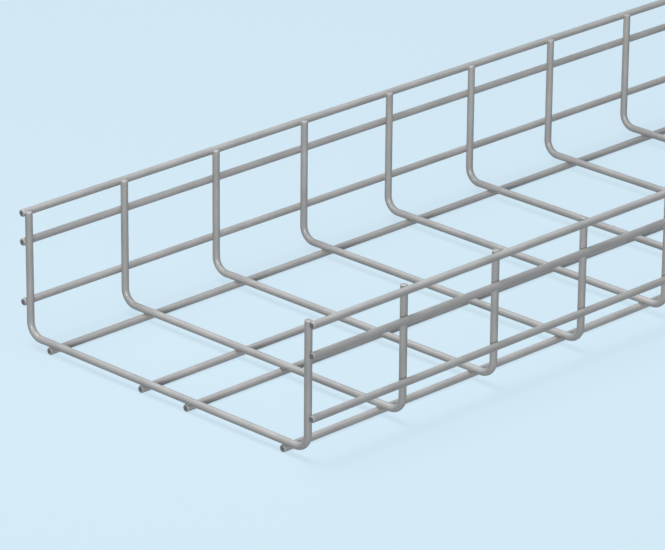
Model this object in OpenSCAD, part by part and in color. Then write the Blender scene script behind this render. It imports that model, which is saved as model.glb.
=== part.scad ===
// Wire mesh cable basket: one straight length of welded steel wire tray.
// Ten long wires run the whole length on the outside of U-shaped cross wires.
// Each cross wire is bent from one piece and has a shallow saddle at every weld,
// in which the long wire sits.
//
// X runs along the basket, Y across it and Z up. The origin is at the middle of
// the basket, on the surface that its floor wires stand on.

/* [Wire] */
// Diameter of the wire
wire_d = 6; // [4:0.5:8]
// How deep a weld sets each long wire into the cross wire
weld_set = 0.2; // [0.1:0.1:0.5]
// Chamfer round the cut end of each wire
end_chamfer = 0.6; // [0.2:0.1:1]
// How far each wire runs on past the axis of the last wire that it is welded to
wire_stub = 2.5; // [2:0.5:6]

/* [Cross wires] */
// Number of cross wires in one length
cross_count = 31; // [2:1:31]
// Spacing of the cross wires
cross_pitch = 100; // [50:10:150]
// Clear width between the legs of a cross wire
inside_w = 300; // [290:10:600]
// Inside radius of the two bends of a cross wire
bend_inside_r = 9; // [4:1:14]

/* [Long wires] */
// Height of the low side wires over the inside floor
side_low_h = 24; // [18:1:40]
// Height of the middle side wires over the inside floor
side_middle_h = 74; // [60:1:80]
// Height of the top side wires over the inside floor
side_top_h = 98; // [95:1:160]
// Distance of the inner floor wires from the middle of the basket
floor_inner_y = 25; // [10:1:50]
// Distance of the outer floor wires in from the axis of the legs
floor_outer_inset = 24; // [18:1:60]

/* [Hidden] */
$fn = 48;
wire_r = wire_d / 2;
// Distance between the axes of two wires that are welded where they cross
weld_gap = wire_d - weld_set;
// Heights of the axes of the floor wires, and of the floor of each cross wire
floor_axis_z = wire_r;
cross_axis_z = floor_axis_z + weld_gap;
inside_floor_z = cross_axis_z + wire_r;
// Legs of each cross wire
leg_y = inside_w / 2 + wire_r;
bend_r = bend_inside_r + wire_r;
leg_bottom_z = cross_axis_z + bend_r;
leg_top_z = inside_floor_z + side_top_h + wire_stub;
floor_half = leg_y - bend_r;
floor_outer_y = leg_y - floor_outer_inset;
// The side wires are welded to the outside of the legs
side_y = leg_y + weld_gap;
// Cross wires along the basket
first_cross_x = -(cross_count - 1) * cross_pitch / 2;
long_wire_l = (cross_count - 1) * cross_pitch + 2 * wire_stub;
// Reach of the cutter that makes one saddle
saddle_l = 2 * wire_d;

// Each long wire is [name, y, z] of its axis
LONG_WIRES = [
    ["side_wire_top_left", side_y, inside_floor_z + side_top_h],
    ["side_wire_middle_left", side_y, inside_floor_z + side_middle_h],
    ["side_wire_low_left", side_y, inside_floor_z + side_low_h],
    ["floor_wire_outer_left", floor_outer_y, floor_axis_z],
    ["floor_wire_inner_left", floor_inner_y, floor_axis_z],
    ["floor_wire_inner_right", -floor_inner_y, floor_axis_z],
    ["floor_wire_outer_right", -floor_outer_y, floor_axis_z],
    ["side_wire_low_right", -side_y, inside_floor_z + side_low_h],
    ["side_wire_middle_right", -side_y, inside_floor_z + side_middle_h],
    ["side_wire_top_right", -side_y, inside_floor_z + side_top_h]
];
function cross_wire_name(i) = str("cross_wire_", i < 9 ? "0" : "", i + 1);

// A straight wire from the origin up Z, with a chamfered end at the top
module straight_with_cut_end(length) {
    cylinder(r = wire_r, h = length - end_chamfer);
    translate([0, 0, length - end_chamfer])
        cylinder(r1 = wire_r, r2 = wire_r - end_chamfer, h = end_chamfer);
}

// One long wire, centred on the origin and lying along X
module long_wire() {
    for (way = [-1, 1])
        rotate([0, way * 90, 0])
            straight_with_cut_end(long_wire_l / 2);
}

// A quarter turn of wire in the YZ plane, from the floor up to the leg at +Y
module bend() {
    translate([0, floor_half, cross_axis_z + bend_r])
        rotate([0, 90, 0])
            rotate_extrude(angle = 90)
                translate([bend_r, 0])
                    circle(r = wire_r);
}

// A leg at +Y, from the bend to the cut end
module leg() {
    translate([0, leg_y, leg_bottom_z])
        straight_with_cut_end(leg_top_z - leg_bottom_z);
}

// The bent wire before welding, in the YZ plane
module bent_wire() {
    translate([0, -floor_half, cross_axis_z])
        rotate([-90, 0, 0])
            cylinder(r = wire_r, h = 2 * floor_half);
    for (side = [0, 1])
        mirror([0, side, 0]) {
            bend();
            leg();
        }
}

// What the long wires take out of a cross wire where they are welded to it
module saddles() {
    for (wire = LONG_WIRES)
        translate([-saddle_l / 2, wire[1], wire[2]])
            rotate([0, 90, 0])
                cylinder(r = wire_r, h = saddle_l);
}

// One U-shaped cross wire, with its saddles
module cross_wire() {
    difference() {
        bent_wire();
        saddles();
    }
}

for (wire = LONG_WIRES)
    color("silver")
            translate([0, wire[1], wire[2]])
                long_wire();

for (i = [0 : cross_count - 1])
    color("lightgray")
            translate([first_cross_x + i * cross_pitch, 0, 0])
                cross_wire();
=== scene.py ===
"""Wire mesh cable basket: the finish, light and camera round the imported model.

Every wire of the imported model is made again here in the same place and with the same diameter, with
more sides, rounded cut ends and a small weld fillet at each crossing. All lengths are in metres.
"""
import math
import random

import bpy
from mathutils import Matrix, Vector


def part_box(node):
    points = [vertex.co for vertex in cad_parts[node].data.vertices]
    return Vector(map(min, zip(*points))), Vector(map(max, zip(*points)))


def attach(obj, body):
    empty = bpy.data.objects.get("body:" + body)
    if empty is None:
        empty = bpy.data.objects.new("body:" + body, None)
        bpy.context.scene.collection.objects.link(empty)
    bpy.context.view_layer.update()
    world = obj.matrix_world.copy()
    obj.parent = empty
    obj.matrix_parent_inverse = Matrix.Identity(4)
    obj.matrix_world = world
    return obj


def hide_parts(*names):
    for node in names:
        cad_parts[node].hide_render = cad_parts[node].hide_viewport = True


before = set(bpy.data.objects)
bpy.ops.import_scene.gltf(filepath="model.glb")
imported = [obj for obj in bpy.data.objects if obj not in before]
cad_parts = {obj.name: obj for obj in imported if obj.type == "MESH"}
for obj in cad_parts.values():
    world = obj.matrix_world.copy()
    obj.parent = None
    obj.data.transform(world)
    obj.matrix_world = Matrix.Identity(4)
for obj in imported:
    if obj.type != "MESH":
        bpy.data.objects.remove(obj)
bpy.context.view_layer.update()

MM = 0.001
ALONG = Vector((1, 0, 0))
ACROSS = Vector((0, 1, 0))
UP = Vector((0, 0, 1))

# The wire and the bend of its axis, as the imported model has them, and the rounding of its cut ends
WIRE_R = 3.0 * MM
BEND_R = 12.0 * MM
END_ROUND = 0.9 * MM

# How finely each wire is made. Rings stand at least RING_GAP apart, and a cut face has rings at
# these shares of its radius. An edge sharper than SHARP_EDGE isn't smoothed.
SIDES = 32
BEND_STEPS = 14
END_STEPS = 4
RING_GAP = 0.01 * MM
FACE_RINGS = (0.66, 0.33)
SHARP_EDGE = math.radians(50)

# The weld fillets: how far one reaches from the middle of its crossing, how deep it dips between
# the two wires, how far its hidden edge and its hidden middle go into them, and how uneven it is,
# with one of these numbers of lobes
WELD_REACH = 1.85 * MM
WELD_DIP = 0.4
WELD_SEAT = 0.03 * MM
WELD_CORE = 0.6 * MM
WELD_UNEVEN = 0.05
WELD_LOBES = (2, 3, 4)
WELD_SPOKES = 24
WELD_STEPS = 4
WELD_SEED = 7
# How much duller the coating is at these distances from the middle of a weld
HEAT = ((0.0, 1.0), (2.5 * MM, 0.8), (5.0 * MM, 0.25), (8.0 * MM, 0.0))
# The wires start this far apart in the finish, so that no two look alike
FINISH_STEP = 7.3
# How much painted shade the cut ends get: the long wires' ends, which face sideways, are painted
# dark, and the legs' tops, which face up, only a little. The edge of a cut face has this share of it.
LONG_END_SHADE = 1.0
LEG_END_SHADE = 0.2
RIM_END_SHADE = 0.5

# The zinc coating: its two tones, and the colours of its grain, of the welds and of the painted
# shade on the cut ends, each with the share that it takes
COATING_DARK = (0.375, 0.366, 0.36, 1)
COATING_PALE = (0.46, 0.448, 0.44, 1)
GRAIN_COLOUR, GRAIN_SHARE = (0.34, 0.333, 0.327, 1), 0.35
WELD_COLOUR, WELD_SHARE = (0.31, 0.303, 0.297, 1), 0.2
# Painted shade: the cut ends are darkened towards this near-black colour, by this share.
END_SHADE_COLOUR, END_SHADE_SHARE = (0.1, 0.1, 0.1, 1), 0.8
METALLIC = 0.1
ROUGHNESS_LOW, ROUGHNESS_HIGH, WELD_ROUGHER = 0.33, 0.43, 0.08
# Its patterns: how fine and how detailed each noise is, and how it is stretched on the straight wire
CLOUDS = {"scale": 90, "detail": 5, "stretch": (0.35, 1, 1)}
GRAIN = {"scale": 1900, "detail": 3}
DIE_LINES = {"scale": 1500, "detail": 2, "stretch": (0.004, 1, 1)}
SHEAR_LINES = {"scale": 900, "detail": 3, "stretch": (0, 0.12, 1)}
# The part of a noise that is used: outside this range it is held
CLOUDS_RANGE = (0.35, 0.65)
NOISE_RANGE = (0.3, 0.7)
# How deep the patterns are
GRAIN_DEPTH = 0.006 * MM
DIE_DEPTH = 0.012 * MM
SHEAR_DEPTH = 0.08 * MM

# Light and background: a soft sun from above and one low on the camera's side light the whole
# length, and a round lamp hangs over the near end. Each strength is the light that falls on a sheet
# that faces it, in watts per square metre.
BACKGROUND = (0.651, 0.815, 0.922)
BACKGROUND_GLOW = 0.86
FLOOR_BOUNCE = (0.03, 0.03, 0.03)
FLOOR_SIZE = 300.0
DOME_STRENGTH = 0.06
SUNS = {
    "sun_above": {"azimuth": 180.0, "elevation": 74.0, "softness": 30.0, "strength": 1.7},
    "sun_beside": {"azimuth": -42.0, "elevation": 14.0, "softness": 20.0, "strength": 2.0},
}
LAMP_SIZE = 0.8
LAMP_STRENGTH = 1.6
LAMP_PLACE = Vector((-1.6, 0.0, 1.0))
LAMP_TARGET = Vector((-1.4, 0.0, 0.05))

# Camera: at azimuth 0 it looks along +Y, and at a lower azimuth it stands farther towards -X. It
# looks at the aim from the distance.
CAMERA_LENS = 233.0
CAMERA_AZIMUTH = -45.363
CAMERA_ELEVATION = 21.724
CAMERA_ROLL = 0.50
CAMERA_AIM = Vector((-1.2405, 0.0792, 0.0088))
CAMERA_DISTANCE = 3.4833


def node_names(cross):
    """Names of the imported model's cross wires, or of its long wires."""
    return [n for n in sorted(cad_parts) if n.startswith("cross_wire") == cross]


def middle(node):
    low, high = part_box(node)
    return (low + high) / 2


# ---------------------------------------------------------------- mesh building

class Shell:
    """Vertices and faces of one piece. Each vertex also keeps its place on the straight wire,
    how far it belongs to a weld, and how much painted shade and shear lines it takes at a cut end."""

    def __init__(self):
        self.points, self.straight, self.heat, self.cut, self.faces = [], [], [], [], []

    def add(self, point, straight, heat=0.0, cut=0.0):
        self.points.append(point)
        self.straight.append(straight)
        self.heat.append(heat)
        self.cut.append(cut)
        return len(self.points) - 1

    def band(self, ring_a, ring_b):
        """Four-sided faces between two rings of as many vertices."""
        count = len(ring_a)
        for i in range(count):
            j = (i + 1) % count
            self.faces.append((ring_a[i], ring_a[j], ring_b[j], ring_b[i]))

    def fan(self, ring, tip, flip=False):
        """Triangles between a ring and one vertex."""
        count = len(ring)
        for i in range(count):
            j = (i + 1) % count
            self.faces.append((ring[j], ring[i], tip) if flip else (ring[i], ring[j], tip))

    def object(self, name, material):
        mesh = bpy.data.meshes.new(name)
        mesh.from_pydata(self.points, [], self.faces)
        mesh.polygons.foreach_set("use_smooth", [True] * len(mesh.polygons))
        mesh.set_sharp_from_angle(angle=SHARP_EDGE)
        for key, kind, values in (
            ("straight", "FLOAT_VECTOR", [x for v in self.straight for x in v]),
            ("heat", "FLOAT", self.heat),
            ("cut", "FLOAT", self.cut),
        ):
            field = "vector" if kind == "FLOAT_VECTOR" else "value"
            mesh.attributes.new(key, kind, "POINT").data.foreach_set(field, values)
        mesh.materials.append(material)
        piece = bpy.data.objects.new(name, mesh)
        bpy.context.scene.collection.objects.link(piece)
        return piece


def heat_at(distance):
    """How much the heat of a weld shows at this distance from its middle."""
    for (near, more), (far, less) in zip(HEAT, HEAT[1:]):
        if distance < far:
            return more + (less - more) * (distance - near) / (far - near)
    return 0.0


def stops(length, welds, extra=()):
    """Where a wire gets its rings: at its ends' rounding, round its welds, and at the extra
    places."""
    wanted = {END_ROUND, length - END_ROUND, *extra}
    for weld in welds:
        for distance, _ in HEAT:
            wanted |= {weld - distance, weld + distance}
    kept = []
    for s in sorted(wanted):
        inside = END_ROUND <= s <= length - END_ROUND
        if inside and (not kept or s - kept[-1] > RING_GAP):
            kept.append(s)
    return kept


def tube(shell, path, side, length, welds, start, end_shade, extra=()):
    """A wire of this length along path, which gives the point and the direction at a length.
    side is a direction that is square to the path all the way, start is where the wire starts in
    the finish, and the argument after it is how much painted shade its cut ends get."""
    def ring(s, radius, cut=0.0):
        centre, way = path(s)
        other = way.cross(side)
        heat = max((heat_at(abs(s - weld)) for weld in welds), default=0.0)
        made = []
        for k in range(SIDES):
            turn = 2 * math.pi * (k + 0.5) / SIDES
            a, b = radius * math.cos(turn), radius * math.sin(turn)
            made.append(shell.add(centre + side * a + other * b, (start + s, a, b), heat, cut))
        return made

    def rounding(at_start):
        """Rings from the straight wire round the rim to the flat cut face, and its middle."""
        rings = []
        end = 0.0 if at_start else length
        inward = 1 if at_start else -1
        for step in range(1, END_STEPS + 1):
            turn = math.pi / 2 * step / END_STEPS
            depth = END_ROUND * (1 - math.sin(turn))
            radius = WIRE_R - END_ROUND * (1 - math.cos(turn))
            # The cut face and its rim get painted shade, the rim a part of it.
            rim_shade = RIM_END_SHADE * end_shade if step == END_STEPS else 0.0
            rings.append(ring(end + inward * depth, radius, rim_shade))
        for share in FACE_RINGS:
            rings.append(ring(end, (WIRE_R - END_ROUND) * share, end_shade))
        centre, _ = path(end)
        return rings, shell.add(centre, (start + end, 0.0, 0.0), 0.0, end_shade)

    first, first_tip = rounding(True)
    last, last_tip = rounding(False)
    rings = first[::-1] + [ring(s, WIRE_R) for s in stops(length, welds, extra)] + last
    for ring_a, ring_b in zip(rings, rings[1:]):
        shell.band(ring_a, ring_b)
    shell.fan(rings[0], first_tip, flip=True)
    shell.fan(rings[-1], last_tip)


def weld_fillet(shell, centre, normal, gap, start, rng):
    """The metal between a long wire and a cross wire whose axes cross this gap apart. centre is
    midway between the axes, and normal points from the long wire to the cross wire."""
    bend_way = normal.cross(ALONG)
    phase, lobes = rng.uniform(0, 2 * math.pi), rng.choice(WELD_LOBES)

    def place(reach, height, turn):
        outward = math.cos(turn) * ALONG + math.sin(turn) * bend_way
        return centre + reach * outward + height * normal

    rings = [[] for _ in range(WELD_STEPS + 1)]
    for k in range(WELD_SPOKES):
        turn = 2 * math.pi * k / WELD_SPOKES
        reach = WELD_REACH * (1 + WELD_UNEVEN * math.sin(lobes * turn + phase))
        low = math.sqrt(WIRE_R**2 - (reach * math.sin(turn))**2) - gap / 2 - WELD_SEAT
        high = gap / 2 - math.sqrt(WIRE_R**2 - (reach * math.cos(turn))**2) + WELD_SEAT
        for step, ring in enumerate(rings):
            share = step / WELD_STEPS
            dip = WELD_DIP * (high - low) * math.sin(math.pi * share)
            point = place(reach - dip, low + (high - low) * share, turn)
            straight = (start, reach * math.cos(turn), reach * math.sin(turn))
            ring.append(shell.add(point, straight, 1.0))
    for ring_a, ring_b in zip(rings, rings[1:]):
        shell.band(ring_a, ring_b)
    core = WIRE_R - gap / 2 - WELD_CORE
    shell.fan(rings[0], shell.add(place(0, core, 0), (start, 0.0, 0.0), 1.0), flip=True)
    shell.fan(rings[-1], shell.add(place(0, -core, 0), (start, 0.0, 0.0), 1.0))


# ---------------------------------------------------------------- the wires

def long_wire(node, cross_x, start, material):
    """One straight wire that runs along the basket on the outside of the cross wires."""
    low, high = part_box(node)
    centre = middle(node)
    length = high.x - low.x

    def path(s):
        return Vector((low.x + s, centre.y, centre.z)), ALONG

    shell = Shell()
    tube(shell, path, UP, length, [x - low.x for x in cross_x], start, LONG_END_SHADE)
    return shell.object(node + "_wire", material)


def cross_wire(node, long_axes, start, material, rng):
    """One bent wire, down a leg, across the floor and up the other leg, and its welds."""
    low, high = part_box(node)
    x = middle(node).x
    leg_y, floor_z, top_z = high.y - WIRE_R, low.z + WIRE_R, high.z
    leg = top_z - floor_z - BEND_R
    bend = math.pi / 2 * BEND_R
    floor = 2 * (leg_y - BEND_R)
    length = 2 * (leg + bend) + floor

    def path(s):
        """The point and direction at this length from the top of the leg at +Y."""
        half = length / 2
        way = 1 if s <= half else -1
        s = min(s, length - s)
        if s <= leg:
            y, z, turn = leg_y, top_z - s, 0.0
        elif s <= leg + bend:
            turn = (s - leg) / BEND_R
            y = leg_y - BEND_R * (1 - math.cos(turn))
            z = floor_z + BEND_R * (1 - math.sin(turn))
        else:
            y, z, turn = half - s, floor_z, math.pi / 2
        direction = Vector((0, -math.sin(turn), -way * math.cos(turn)))
        return Vector((x, way * y, z)), direction

    welds, fillets = [], []
    for y, z in long_axes:
        side = 1 if y > 0 else -1
        if abs(y) > leg_y:
            s, normal, at = top_z - z, -side * ACROSS, Vector((x, side * leg_y, z))
            gap = abs(y) - leg_y
        else:
            s, normal, at = length / 2 - abs(y), UP, Vector((x, y, floor_z))
            gap = floor_z - z
        s = s if side > 0 else length - s
        welds.append(s)
        fillets.append((at - normal * gap / 2, normal, gap, start + s))

    shell = Shell()
    bends = [leg + bend * k / BEND_STEPS for k in range(BEND_STEPS + 1)]
    tube(shell, path, ALONG, length, welds, start, LEG_END_SHADE, bends + [length - s for s in bends])
    for centre, normal, gap, place in fillets:
        weld_fillet(shell, centre, normal, gap, place, rng)
    return shell.object(node + "_wire", material)


def make_wires(material):
    rng = random.Random(WELD_SEED)
    cross_x = [middle(n).x for n in node_names(cross=True)]
    long_axes = [(middle(n).y, middle(n).z) for n in node_names(cross=False)]
    pieces = []
    for node in node_names(cross=False):
        pieces.append((node, long_wire(node, cross_x, len(pieces) * FINISH_STEP, material)))
    for node in node_names(cross=True):
        pieces.append((node, cross_wire(node, long_axes, len(pieces) * FINISH_STEP, material, rng)))
    for node, piece in pieces:
        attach(piece, "root")
        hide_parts(node)


# ---------------------------------------------------------------- materials

def add(tree, kind, inputs=(), **settings):
    """A node of this kind, with its settings, and its inputs set or linked."""
    made = tree.nodes.new(kind)
    for key, value in settings.items():
        setattr(made, key, value)
    for key, value in dict(inputs).items():
        if isinstance(value, bpy.types.NodeSocket):
            tree.links.new(value, made.inputs[key])
        else:
            made.inputs[key].default_value = value
    return made


def new_material(name):
    material = bpy.data.materials.new(name)
    material.use_nodes = True
    material.node_tree.nodes.clear()
    return material, material.node_tree


def attribute(tree, name, output):
    return add(tree, "ShaderNodeAttribute", attribute_name=name).outputs[output]


def noise(tree, place, scale, detail, stretch=(1, 1, 1)):
    """Noise over the straight wire. A share below 1 in stretch draws it out along that axis."""
    scaled = add(tree, "ShaderNodeVectorMath", {0: place, 1: stretch}, operation="MULTIPLY")
    inputs = {"Vector": scaled.outputs[0], "Scale": scale, "Detail": detail}
    return add(tree, "ShaderNodeTexNoise", inputs).outputs["Fac"]


def spread(tree, value, low, high, to_low, to_high):
    """Carries low to high over to to_low to to_high, and holds it there."""
    made = add(tree, "ShaderNodeMapRange", {
        "Value": value, "From Min": low, "From Max": high, "To Min": to_low, "To Max": to_high})
    return made.outputs["Result"]


def mix(tree, share, first, second):
    """A mix of two colours, where share is the part of the second."""
    return add(tree, "ShaderNodeMix", {0: share, 6: first, 7: second}, data_type="RGBA").outputs[2]


def mix_shaders(tree, share, first, second):
    return add(tree, "ShaderNodeMixShader", {0: share, 1: first.outputs[0], 2: second.outputs[0]})


def maths(tree, operation, first, second):
    return add(tree, "ShaderNodeMath", {0: first, 1: second}, operation=operation).outputs[0]


def bump(tree, height, depth, normal=None):
    inputs = {"Height": height, "Distance": depth, "Strength": 1.0}
    if normal is not None:
        inputs["Normal"] = normal
    return add(tree, "ShaderNodeBump", inputs).outputs["Normal"]


def zinc():
    """Satin zinc on drawn wire: faint die lines, a mottled coating, duller welds, sheared ends
    darkened with painted shade.
    """
    material, tree = new_material("satin_zinc")
    place = attribute(tree, "straight", "Vector")
    heat = attribute(tree, "heat", "Fac")
    cut = attribute(tree, "cut", "Fac")

    clouds = noise(tree, place, **CLOUDS)
    grain = noise(tree, place, **GRAIN)
    die_lines = noise(tree, place, **DIE_LINES)
    shear_lines = noise(tree, place, **SHEAR_LINES)

    colour = mix(tree, spread(tree, clouds, *CLOUDS_RANGE, 0, 1), COATING_DARK, COATING_PALE)
    colour = mix(tree, spread(tree, grain, *NOISE_RANGE, 0, GRAIN_SHARE), colour, GRAIN_COLOUR)
    colour = mix(tree, maths(tree, "MULTIPLY", heat, WELD_SHARE), colour, WELD_COLOUR)
    # Painted shade: the cut ends are darkened here.
    colour = mix(tree, maths(tree, "MULTIPLY", cut, END_SHADE_SHARE), colour, END_SHADE_COLOUR)

    rough = spread(tree, clouds, *NOISE_RANGE, ROUGHNESS_LOW, ROUGHNESS_HIGH)
    rough = maths(tree, "ADD", rough, maths(tree, "MULTIPLY", heat, WELD_ROUGHER))

    normal = bump(tree, grain, GRAIN_DEPTH)
    normal = bump(tree, die_lines, DIE_DEPTH, normal)
    normal = bump(tree, maths(tree, "MULTIPLY", shear_lines, cut), SHEAR_DEPTH, normal)

    shader = add(tree, "ShaderNodeBsdfPrincipled", {
        "Base Color": colour, "Roughness": rough, "Normal": normal, "Metallic": METALLIC})
    add(tree, "ShaderNodeOutputMaterial", {"Surface": shader.outputs[0]})
    return material


def seen(tree):
    """1 where the camera sees something, by itself or in a gloss, and 0 for the light it gives."""
    rays = add(tree, "ShaderNodeLightPath").outputs
    gloss = maths(tree, "MAXIMUM", rays["Is Glossy Ray"], rays["Is Transmission Ray"])
    return maths(tree, "MAXIMUM", rays["Is Camera Ray"], gloss)


def floor_material():
    material, tree = new_material("pale_floor")
    bounce = add(tree, "ShaderNodeBsdfDiffuse", {"Color": (*FLOOR_BOUNCE, 1)})
    lit = add(tree, "ShaderNodeBsdfDiffuse", {"Color": (*BACKGROUND, 1)})
    glow = add(tree, "ShaderNodeEmission", {"Color": (*BACKGROUND, 1), "Strength": 1.0})
    shown = mix_shaders(tree, BACKGROUND_GLOW, lit, glow)
    both = mix_shaders(tree, seen(tree), bounce, shown)
    add(tree, "ShaderNodeOutputMaterial", {"Surface": both.outputs[0]})
    return material


# ---------------------------------------------------------------- the set

def make_floor():
    bpy.ops.mesh.primitive_plane_add(size=FLOOR_SIZE)
    floor = bpy.context.object
    floor.name = "floor"
    floor.data.materials.append(floor_material())


def make_dome():
    """An even light from all round, which shows as the pale background."""
    world = bpy.data.worlds.new("dome")
    bpy.context.scene.world = world
    world.use_nodes = True
    tree = world.node_tree
    tree.nodes.clear()
    light = add(tree, "ShaderNodeBackground", {"Color": (1, 1, 1, 1), "Strength": DOME_STRENGTH})
    shown = add(tree, "ShaderNodeBackground", {"Color": (*BACKGROUND, 1), "Strength": 1.0})
    both = mix_shaders(tree, seen(tree), light, shown)
    add(tree, "ShaderNodeOutputWorld", {"Surface": both.outputs[0]})


def facing(azimuth, elevation):
    """The direction from the object back to something that looks at it, azimuth 0 along +Y."""
    a, e = math.radians(azimuth), math.radians(elevation)
    return Vector((math.sin(a) * math.cos(e), -math.cos(a) * math.cos(e), math.sin(e)))


def make_lamp(name, kind, strength, back):
    """A lamp that shines against the direction back, and doesn't show in the picture."""
    light = bpy.data.lights.new(name, kind)
    light.energy = strength
    lamp = bpy.data.objects.new(name, light)
    lamp.rotation_euler = back.to_track_quat("Z", "Y").to_euler()
    lamp.visible_camera = False
    bpy.context.scene.collection.objects.link(lamp)
    return lamp


def make_lights():
    for name, sun in SUNS.items():
        lamp = make_lamp(name, "SUN", sun["strength"], facing(sun["azimuth"], sun["elevation"]))
        lamp.data.angle = math.radians(sun["softness"])
    back = LAMP_PLACE - LAMP_TARGET
    lamp = make_lamp("lamp_overhead", "AREA", LAMP_STRENGTH * math.pi * back.length_squared, back)
    lamp.location = LAMP_PLACE
    lamp.data.shape = "DISK"
    lamp.data.size = LAMP_SIZE


def make_camera():
    back = facing(CAMERA_AZIMUTH, CAMERA_ELEVATION)
    lens = bpy.data.cameras.new("camera")
    lens.lens = CAMERA_LENS
    lens.clip_end = 2 * FLOOR_SIZE
    camera = bpy.data.objects.new("camera", lens)
    roll = Matrix.Rotation(math.radians(CAMERA_ROLL), 3, "Z")
    turned = back.to_track_quat("Z", "Y").to_matrix() @ roll
    camera.matrix_world = Matrix.Translation(CAMERA_AIM + back * CAMERA_DISTANCE) @ turned.to_4x4()
    bpy.context.scene.collection.objects.link(camera)
    bpy.context.scene.camera = camera


make_camera()
make_floor()
make_dome()
make_lights()
make_wires(zinc())
bpy.context.scene.view_settings.view_transform = "Standard"
